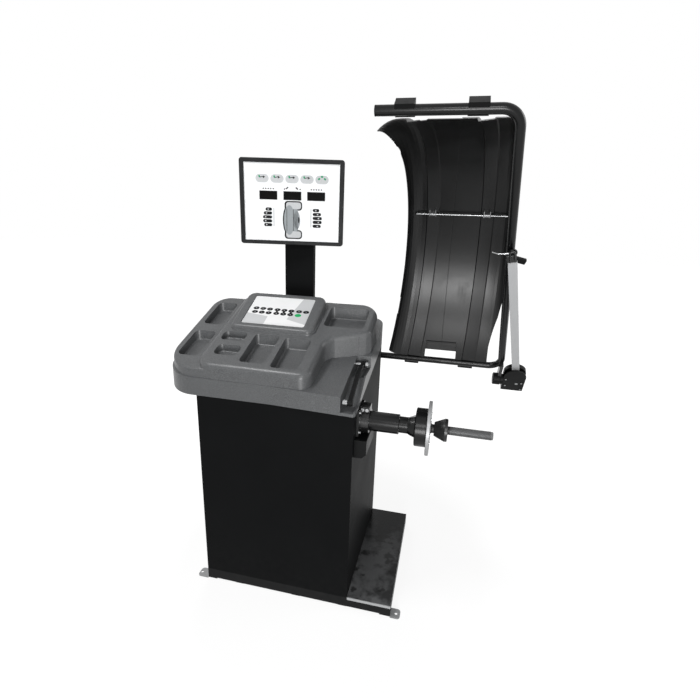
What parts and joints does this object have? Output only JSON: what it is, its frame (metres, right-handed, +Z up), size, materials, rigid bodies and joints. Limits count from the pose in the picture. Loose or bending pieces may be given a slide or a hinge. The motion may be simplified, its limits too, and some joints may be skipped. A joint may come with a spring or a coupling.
{
  "type": "wheel balancer",
  "caption": "Floor-standing workshop wheel balancer with a weight tray, display on a post, motor-driven flanged spindle with cone, swing-down wheel guard, and arms for distance and width.",
  "frame": {"origin": "floor level, under the centre of the rectangular chassis", "axes": "+X along the spindle towards its free end, +Y from the operator towards the back, +Z up"},
  "size_m": [1.595, 0.8692, 2.0465],
  "materials": {
    "black_paint": "satin black powder coat",
    "gloss_black": "glossy black enamel on plate",
    "chassis_black": "satin black enamel, scuffed",
    "tray_plastic": "fine speckled dark grey moulding",
    "white_plastic": "satin white moulding",
    "membrane": "light grey printed film with black and green keys",
    "window_black": "glossy black lens",
    "guard_plastic": "semi-gloss black sheet",
    "guard_tube": "satin black tube",
    "black_plastic": "black moulding",
    "bare_steel": "machined steel",
    "black_steel": "black oxide steel",
    "zinc": "zinc plated",
    "cast_grey": "painted casting",
    "aluminium": "brushed aluminium",
    "rubber": "black rubber",
    "board_green": "circuit board",
    "brass": "piezo cell body",
    "motor_paint": "grey motor paint",
    "light_trim": "bright bare edge"
  },
  "bodies": {
    "machine": {"base_frame": "chassis_black", "floor_ears": "chassis_black", "footplate": "gloss_black", "footplate_lip": "light_trim", "cabinet_shell": "black_paint", "rear_panel": "black_paint", "rear_fasteners": "zinc", "weight_tray": "tray_plastic", "keypad_console": "tray_plastic", "keypad_membrane": "membrane", "spindle_housing": "black_steel", "bearing_outer_races": "bare_steel", "pedestal": "cast_grey", "vibration_sensors": "brass", "spindle_clamp": "black_steel", "clamp_bolts": "zinc", "side_cover": "black_plastic", "drive_motor": "motor_paint", "drive_belt": "rubber", "power_board": "board_green", "transformer": "cast_grey", "encoder_sensor": "black_plastic", "power_inlet": "black_plastic", "switch_case": "black_plastic", "display_bezel": "black_plastic", "display_panel": "white_plastic", "digit_windows": "window_black", "display_case": "black_plastic", "display_board": "board_green", "display_post": "black_paint", "hinge_bracket": "black_paint", "rod_bushes": "black_plastic"},
    "spindle": {"spindle_shaft": "bare_steel", "hub": "black_steel", "flange_plate": "bare_steel", "flange_bolts": "zinc", "bearing_inner_races": "bare_steel", "drive_pulley": "aluminium", "encoder_disc": "aluminium"},
    "motor_shaft": {"motor_pulley": "aluminium"},
    "cone": {"centring_cone": "bare_steel"},
    "switch_key": {"mains_switch": "black_plastic"},
    "guard": {"hood_frame": "guard_tube", "hood_end_caps": "black_plastic", "hood_shell": "guard_plastic", "hood_clips": "black_steel", "shell_brace": "zinc", "hinge_collar": "black_steel", "gauge_stem": "black_steel", "gauge_encoder": "black_plastic", "gauge_cheeks": "black_steel", "gauge_pins": "zinc"},
    "width_arm": {"gauge_arm": "aluminium", "gauge_head": "black_steel", "gauge_feeler": "bare_steel", "gauge_grip": "black_plastic"},
    "distance_slide": {"distance_rod": "bare_steel", "distance_collar": "bare_steel"},
    "distance_lever": {"distance_arm": "black_plastic", "distance_tip": "bare_steel"}
  },
  "joints": [
    {"name": "spindle_spin", "type": "hinge", "parent": "machine", "child": "spindle", "pos_m": [0, -0.205, 0.865], "axis": [1, 0, 0], "continuous": true},
    {"name": "motor_spin", "type": "hinge", "parent": "machine", "child": "motor_shaft", "pos_m": [0, -0.205, 0.56], "axis": [1, 0, 0], "continuous": true},
    {"name": "cone_slide", "type": "slide", "parent": "spindle", "child": "cone", "axis": [1, 0, 0], "range_m": [-0.0075, 0.165]},
    {"name": "guard_swing", "type": "hinge", "parent": "machine", "child": "guard", "pos_m": [0, 0.4284, 0.9655], "axis": [1, 0, 0], "range_deg": [0, 55]},
    {"name": "width_arm_swing", "type": "hinge", "parent": "guard", "child": "width_arm", "pos_m": [0.945, 0.43988, 0.88763], "axis": [0, -0.8131, -0.5821], "range_deg": [-12, 10]},
    {"name": "distance_reach", "type": "slide", "parent": "machine", "child": "distance_slide", "axis": [1, 0, 0], "range_m": [0, 0.23]},
    {"name": "distance_lift", "type": "hinge", "parent": "distance_slide", "child": "distance_lever", "pos_m": [0.2, -0.0645, 1.062], "axis": [-1, 0, 0], "range_deg": [0, 95]},
    {"name": "switch_rock", "type": "hinge", "parent": "machine", "child": "switch_key", "pos_m": [0.191, 0.3285, 0.1835], "axis": [-1, 0, 0], "range_deg": [0, 11]}
  ],
  "couplings": [
    {"joint": "motor_spin", "follows": "spindle_spin", "ratio": 2.5}
  ]
}
